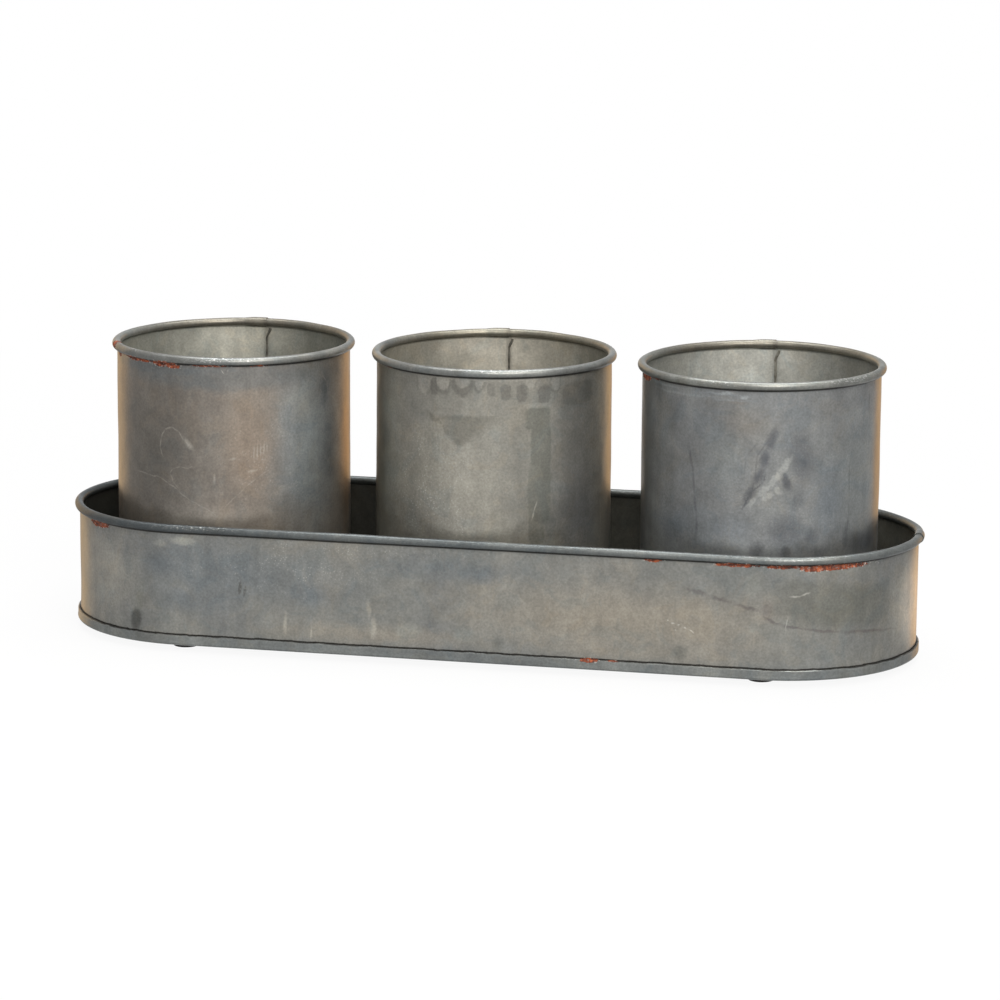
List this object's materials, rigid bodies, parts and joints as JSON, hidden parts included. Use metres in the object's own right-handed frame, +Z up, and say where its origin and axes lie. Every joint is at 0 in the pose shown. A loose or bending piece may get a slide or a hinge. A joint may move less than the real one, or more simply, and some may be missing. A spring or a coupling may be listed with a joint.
{
  "type": "herb planter",
  "caption": "Long round-ended tray of weathered zinc-coated sheet steel with a rolled, wired rim and rubber feet, holding loose round herb pots made the same way.",
  "frame": {"origin": "under the middle of the tray, on the surface that the rubber feet stand on", "axes": "+X along the row of pots, to the right in the picture; +Y to the back; +Z up"},
  "size_m": [0.41, 0.1346, 0.1403],
  "materials": {
    "tray_sheet": "zinc-coated sheet steel, weathered to a mottled dull grey",
    "pot_sheet": "zinc-coated sheet steel, weathered to a mottled dull grey",
    "rim_wire": "plain steel wire, enclosed in the rolled rim",
    "solder": "dull tin solder",
    "foot_rubber": "dark brown-black moulded rubber"
  },
  "bodies": {
    "tray": {"tray_wall": "tray_sheet", "tray_floor": "tray_sheet", "tray_rim_wire": "rim_wire", "tray_seam_solder": "solder", "foot_front_left": "foot_rubber", "foot_front_right": "foot_rubber", "foot_back_left": "foot_rubber", "foot_back_right": "foot_rubber"},
    "pot_left": {"pot_left_wall": "pot_sheet", "pot_left_floor": "pot_sheet", "pot_left_rim_wire": "rim_wire", "pot_left_seam_solder": "solder"},
    "pot_middle": {"pot_middle_wall": "pot_sheet", "pot_middle_floor": "pot_sheet", "pot_middle_rim_wire": "rim_wire", "pot_middle_seam_solder": "solder"},
    "pot_right": {"pot_right_wall": "pot_sheet", "pot_right_floor": "pot_sheet", "pot_right_rim_wire": "rim_wire", "pot_right_seam_solder": "solder"}
  },
  "joints": [
    {"name": "pot_left_lift", "type": "slide", "parent": "tray", "child": "pot_left", "axis": [0, 0, 1], "range_m": [0, 0.15]},
    {"name": "pot_middle_lift", "type": "slide", "parent": "tray", "child": "pot_middle", "axis": [0, 0, 1], "range_m": [0, 0.15]},
    {"name": "pot_right_lift", "type": "slide", "parent": "tray", "child": "pot_right", "axis": [0, 0, 1], "range_m": [0, 0.15]}
  ]
}
